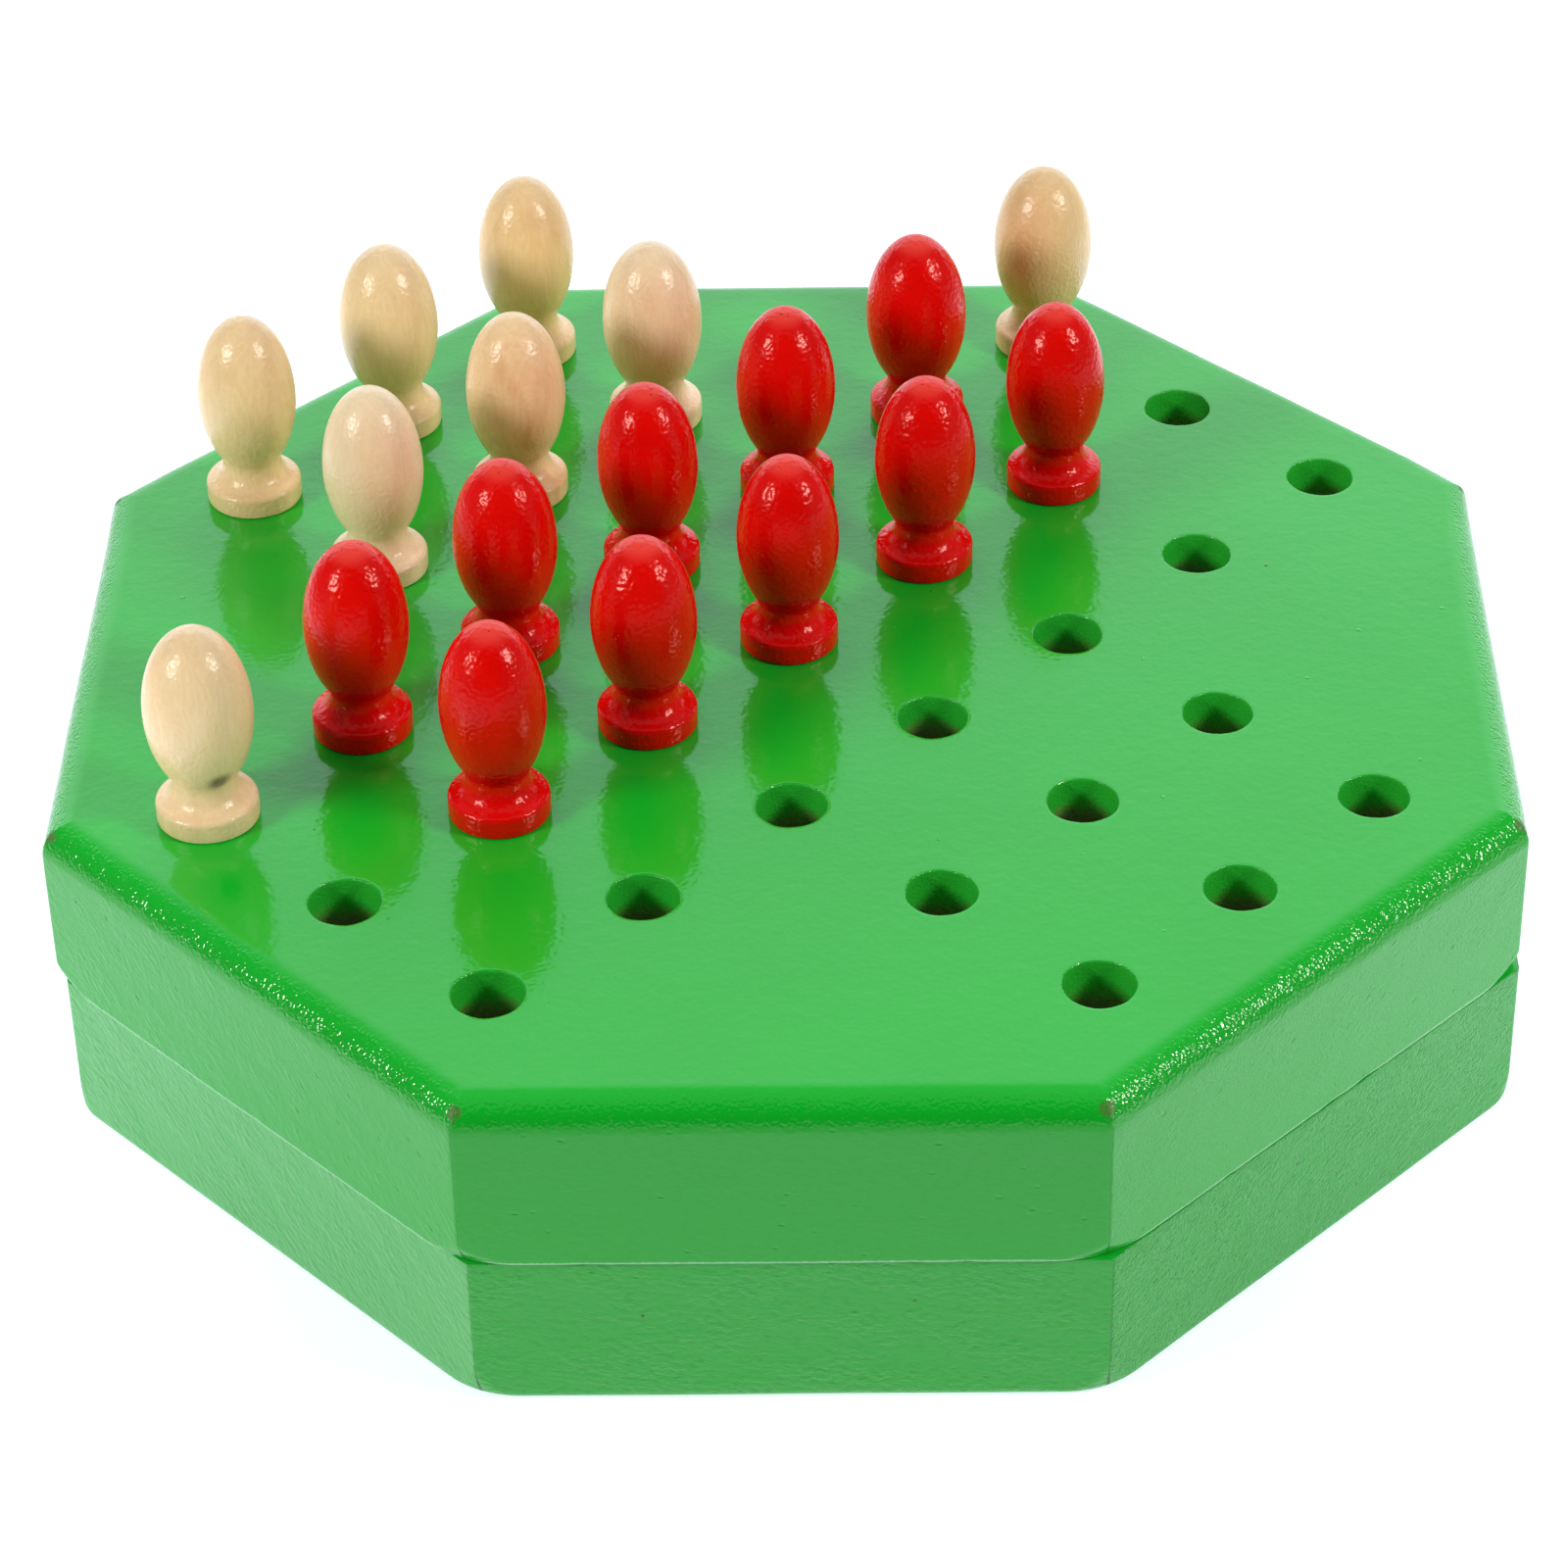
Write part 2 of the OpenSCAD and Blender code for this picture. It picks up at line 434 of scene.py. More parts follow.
studio_floor(front=0.78, sides=1.25)
studio_air(horizon=2.05, behind=1.5, overhead=0.5, sides=0.2, front=0.03)
for side, heading, height_angle in (("left", -122, 27), ("right", 112, 32)):
    soft_box("soft_box_" + side, heading, height_angle, distance=0.65, width=0.15, power=2.2,
             tint="#FFF6EC")


# ---------------------------------------------------------------- finishes
def green_lacquer(name, fibres, pits, gloss_on_edge, shine, painted_sheen_share, seed, edge_highlight_z=None):
    """Sprayed nitrocellulose lacquer on fibreboard. The sealed top flows out glossy with a slight orange
    peel. The thirsty cut edges soak it up, so they are stippled and a little duller, and painted shade
    makes the sides and the rounded edge deeper in colour."""
    material, tree, mm, normal, shader = new_finish(name)
    place = moved(tree, mm, seed, (31.0, 17.0, 7.0))
    facing = add(tree, "SeparateXYZ", {0: normal})
    tilt = facing.outputs["Z"]
    rolled = times(tree, ranged(tree, tilt, 0.998, 0.88), ranged(tree, tilt, 0.15, 0.5))
    wall = times(tree, ranged(tree, tilt, 0.35, 0.05), ranged(tree, tilt, -0.95, -0.6))
    # Painted shade mask: the further a face turns from upright, the deeper its painted green
    edge = ranged(tree, tilt, 0.97, 0.3)
    strokes = add(tree, "Attribute", attribute_name="grain_place").outputs["Vector"]
    # Orange peel: waves about 1.3 mm across, with a fine skin of 0.4 mm over them
    peel = add(tree, "TexNoise", {"Vector": place, "Scale": 0.75, "Detail": 1.0}).outputs["Fac"]
    skin = add(tree, "TexNoise", {"Vector": place, "Scale": 2.0, "Detail": 0.0}).outputs["Fac"]
    relief = sums(tree, times(tree, peel, 0.024), times(tree, skin, 0.011))
    # Stipple on the rounded edge, 0.3 mm across, a little rougher on the right side
    stipple = add(tree, "TexNoise", {"Vector": place, "Scale": 3.1, "Detail": 0.0}).outputs["Fac"]
    stipple = times(tree, stipple, ranged(tree, facing.outputs["X"], 0.0, 0.4, 0.11, 0.12))
    relief = sums(tree, relief, times(tree, stipple, rolled))
    # Raised fibres of the cut edge, 0.6 mm across and 1 mm long, in patches, with a finer nap of 0.25 mm
    fibre = add(tree, "TexNoise", {"Vector": stretched(tree, strokes, (1.05, 1.75, 1.0)), "Scale": 1.0,
                                   "Detail": 1.0, "Roughness": 0.5}).outputs["Fac"]
    fine = add(tree, "TexNoise", {"Vector": stretched(tree, strokes, (3.4, 4.4, 1.0)), "Scale": 1.0,
                                  "Detail": 0.0}).outputs["Fac"]
    patch = add(tree, "TexNoise", {"Vector": stretched(tree, strokes, (0.11, 0.2, 1.0)), "Scale": 1.0,
                                   "Detail": 2.0}).outputs["Fac"]
    patch = ranged(tree, patch, 0.38, 0.62, 0.35, 1.0)
    raised = times(tree, times(tree, fibre, patch), wall)
    rough_side = times(tree, ranged(tree, facing.outputs["X"], 0.3, 0.65, 0.1, 0.8), wall)
    raised = sums(tree, raised, times(tree, fine, rough_side))
    relief = sums(tree, relief, times(tree, raised, fibres))
    # Pits that the lacquer skinned over, 0.4 mm wide
    pit = add(tree, "TexVoronoi", {"Vector": stretched(tree, strokes, (0.62, 1.1, 1.0)), "Scale": 1.0})
    deep = times(tree, ranged(tree, pit.outputs["Distance"], 0.30, 0.10), wall)
    chance = add(tree, "SeparateColor", {0: pit.outputs["Color"]}).outputs[0]
    deep = times(tree, deep, ranged(tree, chance, 0.88, 0.92))
    relief = sums(tree, relief, times(tree, deep, pits), "SUBTRACT")
    # Dust nibs caught in the lacquer, about one in each square centimetre
    dust = add(tree, "TexVoronoi", {"Vector": place, "Scale": 0.16, "Randomness": 1.0})
    nib = ranged(tree, dust.outputs["Distance"], 0.045, 0.02)
    relief = sums(tree, relief, times(tree, nib, 0.05))
    bump = add(tree, "Bump", {"Height": relief, "Strength": 1.0, "Distance": MM}).outputs["Normal"]
    # The lacquer drifts a little in depth. Painted shade: the rounded edge and the sides, which turn away
    # from the light above, are a deeper green
    cloud = add(tree, "TexNoise", {"Vector": place, "Scale": 0.06, "Detail": 3.0}).outputs["Fac"]
    colour = mixed(tree, ranged(tree, cloud, 0.3, 0.7), paint("#05B827"), paint("#08BC2B"))
    colour = mixed(tree, edge, colour, paint("#0EA024"))
    # Painted shade: the hollows between the raised fibres, and those of the finer nap on the rough side,
    # are painted darker
    fibre_hollow_shade = times(tree, ranged(tree, fibre, 0.52, 0.3), wall)
    nap_hollow_shade = times(tree, ranged(tree, fine, 0.40, 0.24), rough_side)
    fibre_hollow_shade = sums(tree, fibre_hollow_shade, times(tree, nap_hollow_shade, 3.0))
    colour = mixed(tree, times(tree, fibre_hollow_shade, fibres), colour, paint("#087A1E"))
    # Painted sheen: a pale wash on the walls that face left stands in for the bright floor's reflection
    # there
    left_wall_sheen = times(tree, ranged(tree, facing.outputs["X"], -0.15, -0.6, 0.0, painted_sheen_share), wall)
    colour = mixed(tree, left_wall_sheen, colour, paint("#B8E8C8"))
    shade = add(tree, "SeparateColor", {0: dust.outputs["Color"]}).outputs[1]
    dirt = times(tree, nib, ranged(tree, shade, 0.75, 0.8))
    colour = mixed(tree, times(tree, dirt, 0.8), colour, paint("#1F3A1A"))
    # Handling has rubbed the lacquer thin on the corners, so the brown board dulls it
    worn = add(tree, "Attribute", attribute_name="wear").outputs["Fac"]
    ragged = add(tree, "TexNoise", {"Vector": place, "Scale": 2.8, "Detail": 4.0,
                                    "Roughness": 0.7}).outputs["Fac"]
    bare = ranged(tree, sums(tree, worn, ragged), 1.0, 1.2)
    colour = mixed(tree, bare, colour, paint("#3E7A20"))
    if edge_highlight_z is not None:
        # Painted highlight: a pale line along the lid's lower edge stands in for the light caught by the
        # bead of lacquer there
        height = add(tree, "SeparateXYZ", {0: mm}).outputs["Z"]
        height = sums(tree, height, times(tree, ragged, 0.3))
        painted_edge_highlight = ranged(tree, height, edge_highlight_z + 0.5, edge_highlight_z + 0.35)
        painted_edge_highlight = times(tree, painted_edge_highlight, ranged(tree, tilt, -0.95, -0.6))
        colour = mixed(tree, times(tree, painted_edge_highlight, 0.7), colour, paint("#9AD6A6"))
    tree.links.new(colour, shader.inputs["Base Color"])
    gloss = ranged(tree, wall, 0.0, 1.0, 0.11, gloss_on_edge)
    gloss = sums(tree, gloss, times(tree, bare, 0.4))
    tree.links.new(gloss, shader.inputs["Roughness"])
    tree.links.new(bump, shader.inputs["Normal"])
    shader.inputs["IOR"].default_value = 1.5
    shader.inputs["Specular IOR Level"].default_value = shine
    return material


def hole_lacquer(name):
    """Overspray running out down a drilled hole: green at the mouth, then bare dark fibreboard."""
    material, tree, mm, normal, shader = new_finish(name)
    height = add(tree, "SeparateXYZ", {0: mm}).outputs["Z"]
    # The spray came from all sides in turn, so it reaches deeper in some holes and on some sides
    drift = add(tree, "TexNoise", {"Vector": mm, "Scale": 0.12, "Detail": 1.0}).outputs["Fac"]
    ragged = add(tree, "TexNoise", {"Vector": mm, "Scale": 1.4, "Detail": 4.0,
                                    "Roughness": 0.65}).outputs["Fac"]
    reach = sums(tree, height, times(tree, ragged, 3.0))
    reach = sums(tree, reach, times(tree, drift, 3.0))
    painted = ranged(tree, reach, TOP_Z - 2.6, TOP_Z + 0.6)
    fuzz = add(tree, "TexNoise", {"Vector": mm, "Scale": 3.0, "Detail": 3.0}).outputs["Fac"]
    board = mixed(tree, fuzz, paint("#6E6238"), paint("#94845A"))
    colour = mixed(tree, painted, board, paint("#2ABA36"))
    tree.links.new(colour, shader.inputs["Base Color"])
    tree.links.new(ranged(tree, painted, 0.0, 1.0, 0.85, 0.3), shader.inputs["Roughness"])
    bump = add(tree, "Bump", {"Height": fuzz, "Strength": 0.6, "Distance": 0.15 * MM}).outputs["Normal"]
    tree.links.new(bump, shader.inputs["Normal"])
    return material


def bare_fibreboard(name):
    """Routed medium-density fibreboard, left unpainted: brown felted fibres and faint router tracks."""
    material, tree, mm, normal, shader = new_finish(name)
    felt = add(tree, "TexNoise", {"Vector": mm, "Scale": 1.8, "Detail": 5.0,
                                  "Roughness": 0.7}).outputs["Fac"]
    patch = add(tree, "TexNoise", {"Vector": mm, "Scale": 0.06, "Detail": 2.0}).outputs["Fac"]
    colour = mixed(tree, felt, paint("#8C6A45"), paint("#B8946A"))
    colour = mixed(tree, ranged(tree, patch, 0.4, 0.65, 0.0, 0.3), colour, paint("#7C5E3E"))
    # Router tracks, 6 mm apart
    track = add(tree, "TexWave", {"Vector": mm, "Scale": 0.05, "Distortion": 1.5,
                                  "Detail": 2.0}).outputs["Fac"]
    relief = sums(tree, times(tree, felt, 0.06), times(tree, track, 0.04))
    bump = add(tree, "Bump", {"Height": relief, "Strength": 1.0, "Distance": MM}).outputs["Normal"]
    tree.links.new(colour, shader.inputs["Base Color"])
    tree.links.new(bump, shader.inputs["Normal"])
    shader.inputs["Roughness"].default_value = 0.85
    return material


def red_lacquer(name, seed):
    """Dipped red lacquer on turned wood: glossy with a fine orange peel, and pits and a duller finish on
    the crown, where the end grain drank it. The crown is painted a paler red as sheen, and its pits darker
    as shade."""
    material, tree, mm, normal, shader = new_finish(name)
    place = moved(tree, mm, seed, (13.0, 29.0, 5.0))
    tilt = add(tree, "SeparateXYZ", {0: normal}).outputs["Z"]
    height = add(tree, "SeparateXYZ", {0: mm}).outputs["Z"]
    crown = ranged(tree, height, TOP_Z + 13, TOP_Z + 17)
    crown = times(tree, ranged(tree, tilt, 0.70, 0.94), crown)
    # Orange peel, 0.4 mm across with 1 mm waves under it
    peel = add(tree, "TexNoise", {"Vector": place, "Scale": 2.2, "Detail": 0.0}).outputs["Fac"]
    wave = add(tree, "TexNoise", {"Vector": place, "Scale": 0.8, "Detail": 1.0}).outputs["Fac"]
    grain = add(tree, "TexNoise", {"Vector": stretched(tree, place, (2.6, 2.6, 0.25)), "Scale": 1.0,
                                   "Detail": 2.0}).outputs["Fac"]
    pit = add(tree, "TexVoronoi", {"Vector": place, "Scale": 1.6, "Randomness": 1.0})
    chance = add(tree, "SeparateColor", {0: pit.outputs["Color"]}).outputs[0]
    deep = ranged(tree, pit.outputs["Distance"], 0.24, 0.10)
    deep = times(tree, deep, ranged(tree, crown, 0.75, 1.0))
    deep = times(tree, deep, ranged(tree, chance, 0.5, 0.55))
    relief = sums(tree, times(tree, peel, 0.07), times(tree, wave, 0.04))
    relief = sums(tree, relief, times(tree, grain, 0.006))
    relief = sums(tree, relief, times(tree, deep, 0.12), "SUBTRACT")
    bump = add(tree, "Bump", {"Height": relief, "Strength": 1.0, "Distance": MM}).outputs["Normal"]
    cloud = add(tree, "TexNoise", {"Vector": place, "Scale": 0.18, "Detail": 2.0}).outputs["Fac"]
    colour = mixed(tree, ranged(tree, cloud, 0.35, 0.65), paint("#E30602"), paint("#EA0A04"))
    # Painted sheen: the crown is painted a paler red for the overhead light's reflection on it
    colour = mixed(tree, times(tree, crown, 0.7), colour, paint("#F84A3C"))
    # Painted shade: the pits on the crown are painted a darker red
    colour = mixed(tree, times(tree, deep, 0.6), colour, paint("#7C0804"))
    tree.links.new(colour, shader.inputs["Base Color"])
    tree.links.new(bump, shader.inputs["Normal"])
    tree.links.new(ranged(tree, crown, 0.0, 1.0, 0.2, 0.42), shader.inputs["Roughness"])
    shader.inputs["IOR"].default_value = 1.5
    shader.inputs["Specular IOR Level"].default_value = 0.34
    shader.inputs["Specular Tint"].default_value = paint("#FFD4CE")
    return material


def varnished_wood(name, pale, dark, seed, streak=0.0, knot=None):
    """Clear varnish on turned lime wood: fine straight grain running up the peg, pale between the rings."""
    material, tree, mm, normal, shader = new_finish(name)
    place = moved(tree, mm, seed, (23.0, 11.0, 3.0))
    # Growth rings a few millimetres apart, cut lengthways so they run up the peg
    bend = add(tree, "TexNoise", {"Vector": stretched(tree, place, (0.35, 0.35, 0.07)), "Scale": 1.0,
                                  "Detail": 2.0}).outputs["Fac"]
    ring = sums(tree, times(tree, bend, 9.0), 1.0, "MODULO")
    ring = ranged(tree, sums(tree, sums(tree, ring, 0.5, "SUBTRACT"), 0.0, "ABSOLUTE"), 0.5, 0.1)
    # Fine fibres, 0.25 mm across and 5 mm long
    fibre = add(tree, "TexNoise", {"Vector": stretched(tree, place, (4.0, 4.0, 0.22)), "Scale": 1.0,
                                   "Detail": 3.0, "Roughness": 0.65}).outputs["Fac"]
    wide = add(tree, "TexNoise", {"Vector": stretched(tree, place, (0.3, 0.3, 0.1)), "Scale": 1.0,
                                  "Detail": 2.0}).outputs["Fac"]
    colour = mixed(tree, ranged(tree, ring, 0.0, 1.0, 0.0, 0.25), paint(pale), paint(dark))
    colour = mixed(tree, ranged(tree, fibre, 0.45, 0.72, 0.0, 0.35), colour, paint(dark))
    colour = mixed(tree, ranged(tree, wide, 0.52, 0.68, 0.0, streak), colour, paint("#C98A4A"))
    if knot is not None:
        away = add(tree, "VectorMath", {0: mm, 1: knot}, operation="DISTANCE").outputs["Value"]
        away = sums(tree, away, times(tree, fibre, 0.6))
        colour = mixed(tree, ranged(tree, away, 2.1, 0.6, 0.0, 0.9), colour, paint("#403F2C"))
    # The varnish is brushed on thin, with an orange peel 0.4 mm across
    peel = add(tree, "TexNoise", {"Vector": place, "Scale": 2.3, "Detail": 0.0}).outputs["Fac"]
    relief = sums(tree, times(tree, fibre, 0.02), times(tree, peel, 0.05))
    bump = add(tree, "Bump", {"Height": relief, "Strength": 1.0, "Distance": MM}).outputs["Normal"]
    tree.links.new(colour, shader.inputs["Base Color"])
    tree.links.new(bump, shader.inputs["Normal"])
    shader.inputs["Roughness"].default_value = 0.27
    shader.inputs["IOR"].default_value = 1.5
    return material


# ---------------------------------------------------------------- the lid board
def sanded(rounding, height_above, reach):
    """Rounding of a corner in plan: widest at the edge that was sanded, and back to crisp above it."""
    share = np.clip(1 - height_above / reach, 0, 1)
    return CORNER_ROUND + (rounding - CORNER_ROUND) * share ** 1.5


def chips(points, edge_seed, count, half):
    """Small nicks along an edge: each takes up to a tenth of a millimetre, over one or two millimetres."""
    nick = np.random.default_rng(edge_seed)
    taken = np.zeros(len(points))
    for _ in range(count):
        k = nick.integers(0, 8)
        turn = math.radians(45 * k)
        facing = np.array([math.cos(turn), math.sin(turn)])
        along = np.array([-facing[1], facing[0]])
        spot = facing * half + along * nick.uniform(-1, 1) * half * math.tan(HALF_SIDE)
        width = nick.uniform(0.4, 1.3)
        gap = np.linalg.norm(points - spot, axis=1)
        taken = np.maximum(taken, nick.uniform(0.03, 0.09) * np.exp(-(gap / width) ** 2))
    return taken


def hole_outline(seat, radius, z):
    """A ring of points round a hole."""
    angles = np.arange(PER_HOLE) / PER_HOLE * 2 * math.pi
    return np.stack([seat[0] + radius * np.cos(angles), seat[1] + radius * np.sin(angles),
                     np.full(PER_HOLE, z)], axis=1)


def make_lid(finishes):
    """The peg board: rounded top edge, 33 holes with rolled rims, and the recess that takes the lip."""
    board = Blank()
    # Each level is (inset, height, finish), from the top cap down to the recess's ceiling
    levels = [(LID_ROUND + EASED, TOP_Z, 0), (LID_ROUND, TOP_Z, 0)]
    for t in np.linspace(0, math.pi / 2, 15)[1:]:
        down = LID_ROUND - LID_ROUND * math.cos(t)
        levels.append((LID_ROUND - LID_ROUND * math.sin(t), TOP_Z - down, 0))
    band_z = LID_FOOT_Z + 3.0           # the levels lie closer below this, where the corners are sanded
    for z in np.linspace(TOP_Z - LID_ROUND, band_z, 9)[1:]:
        levels.append((0.0, z, 0))
    for z in np.linspace(band_z, LID_FOOT_Z + LID_ARRIS, 10)[1:]:
        levels.append((0.0, z, 0))
    for t in np.linspace(0, math.pi / 2, 6)[1:]:
        z = LID_FOOT_Z + LID_ARRIS - LID_ARRIS * math.sin(t)
        levels.append((LID_ARRIS - LID_ARRIS * math.cos(t), z, 0))
    recess_half = WELL_HALF + LIP_W + LIP_PLAY
    land = LID_HALF - recess_half
    for inset in (1.2, land * 0.6, land - 0.25):
        levels.append((inset, LID_FOOT_Z, 0))
    levels.append((land, LID_FOOT_Z + 0.25, 1))
    levels.append((land, LID_FOOT_Z + 0.7, 1))
    levels.append((land, LID_FOOT_Z + RECESS_DEPTH - 0.4, 1))
    levels.append((land, LID_FOOT_Z + RECESS_DEPTH, 1))
    levels.append((land + 0.6, LID_FOOT_Z + RECESS_DEPTH, 1))
    rings, worn, strokes = [], [], []
    for inset, z, finish in levels:
        rounding = sanded(SEAM_CORNER, z - LID_FOOT_Z, SEAM_SANDED) if finish == 0 else WELL_CORNER
        loop = octagon_loop(LID_HALF - inset, max(rounding - inset, LEAST_CORNER))
        out = loop_normals(loop)
        at = np.column_stack([loop, np.full(len(loop), z)])
        shift = np.zeros(len(loop))
        height = np.full(len(loop), float(z))
        if finish == 0 and inset < LID_ROUND:
            shift = WAVINESS * (ripple(at, wave_mm=26, seed=5) - 1) * (1 - inset / LID_ROUND)
            nicked = chips(loop, edge_seed=71, count=16, half=LID_HALF)
            near = math.exp(-(z - LID_FOOT_Z) / 0.45)
            shift -= nicked * near
            height = height + nicked * near * 0.7
            if z > TOP_Z - LID_ROUND:
                share = (z - TOP_Z + LID_ROUND) / LID_ROUND
                height = TOP_Z - (TOP_Z - height) * edge_share(loop)
                height = height + 0.10 * (ripple(at, wave_mm=16, seed=9) - 1) * share * (1 - share) * 2
        if inset <= LID_ROUND and z > TOP_Z - LID_ROUND:
            shift = shift + inset * (1 - edge_share(loop))
        if inset > LID_ROUND and z == TOP_Z:
            shift = 0.25 * (1 - (1 - corner_gap(loop) / HALF_LENGTH) ** 2)
        ring = board.add_points(place_loop(loop + out * shift[:, None], LID_CENTRE, LID_TURN, height))
        rings.append(ring)
        strokes.append(stroke_place(loop, z - inset))
        corner_wear = np.clip(1 - corner_gap(loop) / 2.2, 0, 1)
        on_shoulder = math.exp(-((inset - 0.9) / 0.8) ** 2) if z > TOP_Z - LID_ROUND - 0.5 else 0.0
        at_foot = math.exp(-(z - LID_FOOT_Z) / 0.35) if finish == 0 else 0.0
        worn.append(np.clip(corner_wear * 0.9 * on_shoulder + corner_wear * at_foot * 0.5, 0, 1))
    for (lower, upper), (_, _, finish) in zip(zip(rings, rings[1:]), levels[1:]):
        board.bridge(upper, lower, finish)
    board.patch([tuple(reversed(rings[-1]))], 1)
    # Holes: each rolls over a small rim and runs down to a flat bottom
    mouths = []
    for number, seat in enumerate(HOLES):
        uneven = np.random.default_rng(100 + number)
        radius = HOLE_R + uneven.uniform(-0.03, 0.03)
        spin = uneven.uniform(0, 6)
        steps = [(radius + HOLE_RIM + 0.25, TOP_Z), (radius + HOLE_RIM, TOP_Z)]
        steps += [(radius + HOLE_RIM - HOLE_RIM * math.sin(t), TOP_Z - HOLE_RIM + HOLE_RIM * math.cos(t))
                  for t in np.linspace(0, math.pi / 2, 6)[1:]]
        steps += [(radius, TOP_Z - d) for d in (1.0, 2.0, 3.5, 5.5, 8.0, HOLE_DEPTH - 0.5)]
        steps += [(radius - 0.15, TOP_Z - HOLE_DEPTH + 0.15), (radius - 0.5, TOP_Z - HOLE_DEPTH)]
        hoops = []
        for depth_index, (r, z) in enumerate(steps):
            outline = hole_outline(seat, r, z)
            angles = np.arctan2(outline[:, 1] - seat[1], outline[:, 0] - seat[0])
            if depth_index > 1:
                wobble = 0.03 * np.sin(3 * angles + spin) + 0.02 * np.sin(7 * angles + spin * 2)
                outline[:, 0] += wobble * np.cos(angles)
                outline[:, 1] += wobble * np.sin(angles)
            hoops.append(board.add_points(outline))
        for index, (outer, inner) in enumerate(zip(hoops, hoops[1:])):
            board.bridge(outer, inner, 0 if index < 4 else 2)
        board.patch([tuple(hoops[-1])], 2)
        mouths.append(hoops[0])
    # The flat top between the edge and the holes
    edge = rings[0]
    flat = edge + [i for mouth in mouths for i in mouth]
    lines, start = [], 0
    for ring in [edge] + mouths:
        lines += [(start + i, start + (i + 1) % len(ring)) for i in range(len(ring))]
        start += len(ring)
    plan = [Vector(board.points[i][:2]) for i in flat]
    corners, _, triangles, came_from, _, _ = geometry.delaunay_2d_cdt(plan, lines, [], 0, 1e-6)
    source = [flat[o[0]] for o in came_from]
    place_on_edge = {index: order for order, index in enumerate(edge)}
    mouth_of = {index: number for number, mouth in enumerate(mouths) for index in mouth}

    def is_board(triangle):
        """False across a hole, and for a sliver outside the edge, which runs against the edge's way."""
        around = {mouth_of.get(i) for i in triangle}
        if len(around) == 1 and None not in around:
            return False
        order = [place_on_edge.get(i) for i in triangle]
        if None in order:
            return True
        first = order.index(min(order))
        return order[(first + 1) % 3] < order[(first + 2) % 3]

    triangles = [tuple(source[i] for i in t) for t in triangles]
    board.patch([t for t in triangles if is_board(t)], 0)
    return finished_board(board, "peg_board_lacquered", finishes, rings, worn, strokes)


# ---------------------------------------------------------------- the tray
def make_tray(finishes):
    """The storage tray: sanded foot corners, the lip that keeps the lid, and the routed well."""
    board = Blank()
    levels = [(TRAY_ROUND + 0.6, 0.0, 0), (TRAY_ROUND, 0.0, 0)]
    for t in np.linspace(0, math.pi / 2, 8)[1:]:
        levels.append((TRAY_ROUND - TRAY_ROUND * math.sin(t), TRAY_ROUND - TRAY_ROUND * math.cos(t), 0))
    for z in np.linspace(TRAY_ROUND, TRAY_TOP_Z - TRAY_ARRIS, 18)[1:]:
        levels.append((0.0, z, 0))
    for t in np.linspace(0, math.pi / 2, 5)[1:]:
        z = TRAY_TOP_Z - TRAY_ARRIS + TRAY_ARRIS * math.sin(t)
        levels.append((TRAY_ARRIS - TRAY_ARRIS * math.cos(t), z, 0))
    lip_half = WELL_HALF + LIP_W
    land = TRAY_HALF - lip_half
    lip_top = TRAY_HIGH[2]
    for inset in (1.2, land * 0.6, land - 0.2):
        levels.append((inset, TRAY_TOP_Z, 0))
    levels.append((land, TRAY_TOP_Z + 0.2, 1))
    levels.append((land, lip_top - EASED, 1))
    levels.append((land + 0.15, lip_top - 0.15, 1))
    levels.append((land + EASED, lip_top, 1))
    levels.append((land + LIP_W - EASED, lip_top, 1))
    levels.append((land + LIP_W - 0.15, lip_top - 0.15, 1))
    levels.append((land + LIP_W, lip_top - EASED, 1))
    levels.append((land + LIP_W, FLOOR_T + 0.6, 1))
    levels.append((land + LIP_W + 0.18, FLOOR_T + 0.18, 1))
    levels.append((land + LIP_W + 0.6, FLOOR_T, 1))
    rings, worn, strokes = [], [], []
    for inset, z, finish in levels:
        inner = inset > land - 0.3
        rounding = sanded(FOOT_CORNER * FOOT_SHARES, z, FOOT_SANDED)
        rounding = WELL_CORNER if inner else np.maximum(rounding - inset, LEAST_CORNER)
        loop = octagon_loop(TRAY_HALF - inset, rounding)
        out = loop_normals(loop)
        at = np.column_stack([loop, np.full(len(loop), z)])
        shift = np.zeros(len(loop))
        height = np.full(len(loop), float(z))
        if not inner:
            shift = WAVINESS * (ripple(at, wave_mm=22, seed=15) - 1)
            near = math.exp(-max(TRAY_TOP_Z - z, 0.0) / 0.4)
            shift -= chips(loop, edge_seed=83, count=12, half=TRAY_HALF) * near
        ring = board.add_points(place_loop(loop + out * shift[:, None], TRAY_CENTRE, 0.0, height))
        rings.append(ring)
        strokes.append(stroke_place(loop, z + inset))
        corner_wear = np.clip(1 - corner_gap(loop) / 5.0, 0, 1)
        at_foot = math.exp(-z / 0.8) if not inner else 0.0
        worn.append(np.clip(corner_wear * at_foot * 0.9 + 0.42 * at_foot, 0, 1))
    for (lower, upper), (_, _, finish) in zip(zip(rings, rings[1:]), levels[1:]):
        board.bridge(lower, upper, finish)
    board.patch([tuple(reversed(rings[0]))], 0)
    board.patch([tuple(rings[-1])], 1)
    return finished_board(board, "tray_lacquered", finishes, rings, worn, strokes)


# ---------------------------------------------------------------- the pegs
def curve_points(start, leave, arrive, end, steps):
    """Points of a smooth curve between two ends, without the ends. Leave and arrive are its handles."""
    points = []
    for t in np.linspace(0, 1, steps)[1:-1]:
        point = (1 - t) ** 3 * start + 3 * (1 - t) ** 2 * t * leave
        point = point + 3 * (1 - t) * t ** 2 * arrive + t ** 3 * end
        points.append((point[0], point[1]))
    return points


